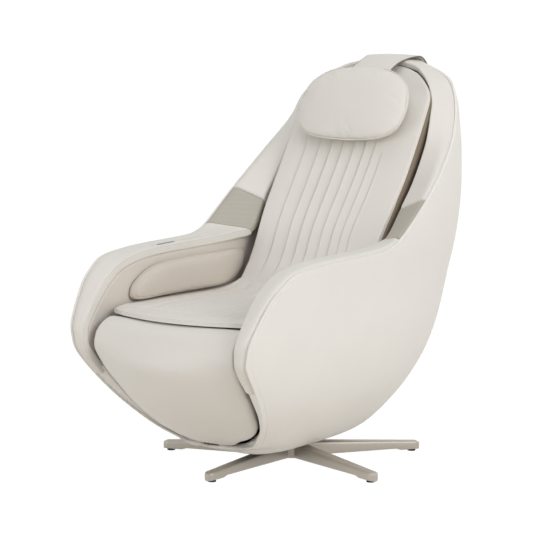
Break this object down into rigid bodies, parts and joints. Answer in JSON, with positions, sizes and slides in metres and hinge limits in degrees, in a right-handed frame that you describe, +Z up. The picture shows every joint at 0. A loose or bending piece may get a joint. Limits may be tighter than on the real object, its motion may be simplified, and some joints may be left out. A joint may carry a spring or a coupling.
{
  "type": "massage chair",
  "caption": "Compact egg-shaped massage chair on a star swivel base, with padded arms and wings, head pillow, lifting leg rest and a roller carriage in the back",
  "frame": {"origin": "On the floor, in the middle of the chair's bounding box seen from above", "axes": "+X to the sitter's left, which is the right as seen from in front, -Y the way the sitter faces, +Z up"},
  "size_m": [0.6536, 1.0447, 0.9922],
  "materials": {
    "base_metal": "satin champagne-grey paint",
    "rubber": "matt black rubber",
    "steel": "ground bright steel",
    "frame_paint": "black powder coat",
    "board": "bare plywood",
    "upholstery": "soft ivory synthetic leather",
    "shell_skin": "smooth ivory synthetic leather over a moulded shell",
    "panel_skin": "ivory synthetic leather",
    "cushion_fabric": "grey-beige fine mesh fabric",
    "grille_mesh": "grey-beige speaker cloth",
    "control_trim": "grey-beige satin plastic",
    "display": "dark glossy touch window",
    "button_metal": "satin metal",
    "black_plastic": "black moulded plastic",
    "switch_plastic": "black glossy rocker",
    "motor_shell": "dark grey motor housing",
    "roller_rubber": "firm dark elastomer"
  },
  "bodies": {
    "base": {"star_base": "base_metal", "foot_glides": "rubber", "swivel_column": "steel", "bearing_race_lower": "steel", "bearing_balls": "steel", "retaining_ring": "steel"},
    "seat_body": {"bearing_race_upper": "steel", "swivel_plate": "frame_paint", "seat_frame": "frame_paint", "seat_board": "board", "seat_mat": "upholstery", "shell_left": "shell_skin", "shell_right": "shell_skin", "bottom_cover": "black_plastic", "arm_pad_left": "upholstery", "arm_pad_right": "upholstery", "speaker_grille_left": "grille_mesh", "speaker_grille_right": "grille_mesh", "wing_pad_left": "upholstery", "wing_pad_right": "upholstery", "side_panel_left": "panel_skin", "side_panel_right": "panel_skin", "side_cushion_left": "cushion_fabric", "side_cushion_right": "cushion_fabric", "control_strip": "control_trim", "control_window": "display", "control_button": "button_metal", "power_inlet": "black_plastic", "legrest_pins": "steel", "legrest_motor": "motor_shell", "back_pad": "upholstery", "back_frame": "frame_paint", "guide_rods": "steel", "screw_motor": "motor_shell", "control_box": "black_plastic", "air_pump": "black_plastic", "head_pillow": "upholstery", "pillow_strap": "upholstery"},
    "power_rocker": {"power_switch": "switch_plastic"},
    "legrest": {"legrest_pad": "upholstery", "legrest_frame": "frame_paint"},
    "screw": {"lead_screw": "steel"},
    "carriage": {"carriage": "frame_paint", "knead_motor": "motor_shell"},
    "knead_left": {"knead_arm_left": "frame_paint"},
    "knead_right": {"knead_arm_right": "frame_paint"},
    "roller_ul": {"roller_upper_left": "roller_rubber"},
    "roller_ll": {"roller_lower_left": "roller_rubber"},
    "roller_ur": {"roller_upper_right": "roller_rubber"},
    "roller_lr": {"roller_lower_right": "roller_rubber"}
  },
  "joints": [
    {"name": "swivel", "type": "hinge", "parent": "base", "child": "seat_body", "pos_m": [0, 0.014, 0.05], "axis": [0, 0, 1], "continuous": true},
    {"name": "legrest_lift", "type": "hinge", "parent": "seat_body", "child": "legrest", "pos_m": [0, -0.441, 0.328], "axis": [-1, 0, 0], "range_deg": [0, 60]},
    {"name": "carriage_slide", "type": "slide", "parent": "seat_body", "child": "carriage", "axis": [0, 0.5847, 0.8112], "range_m": [0, 0.2]},
    {"name": "screw_spin", "type": "hinge", "parent": "seat_body", "child": "screw", "pos_m": [0, 0.23963, 0.51755], "axis": [0, 0.5847, 0.8112], "range_deg": [0, 3610]},
    {"name": "knead_right", "type": "hinge", "parent": "carriage", "child": "knead_right", "pos_m": [0.055, 0.23963, 0.51755], "axis": [0, 0.8112, -0.5847], "range_deg": [-6, 6]},
    {"name": "knead_left", "type": "hinge", "parent": "carriage", "child": "knead_left", "pos_m": [-0.055, 0.23963, 0.51755], "axis": [0, 0.8112, -0.5847], "range_deg": [-6, 6]},
    {"name": "roller_ul_spin", "type": "hinge", "parent": "knead_left", "child": "roller_ul", "pos_m": [-0.055, 0.22138, 0.57261], "axis": [1, 0, 0], "continuous": true},
    {"name": "roller_ll_spin", "type": "hinge", "parent": "knead_left", "child": "roller_ll", "pos_m": [-0.055, 0.18162, 0.51745], "axis": [1, 0, 0], "continuous": true},
    {"name": "roller_ur_spin", "type": "hinge", "parent": "knead_right", "child": "roller_ur", "pos_m": [0.055, 0.22138, 0.57261], "axis": [1, 0, 0], "continuous": true},
    {"name": "roller_lr_spin", "type": "hinge", "parent": "knead_right", "child": "roller_lr", "pos_m": [0.055, 0.18162, 0.51745], "axis": [1, 0, 0], "continuous": true},
    {"name": "power_rock", "type": "hinge", "parent": "seat_body", "child": "power_rocker", "pos_m": [0.07918, 0.27561, 0.15198], "axis": [0.9619, -0.2656, -0.0645], "range_deg": [-7, 7]}
  ],
  "couplings": [
    {"joint": "screw_spin", "follows": "carriage_slide", "rad_per_m": 314.16},
    {"joint": "knead_left", "follows": "knead_right", "ratio": -1}
  ]
}
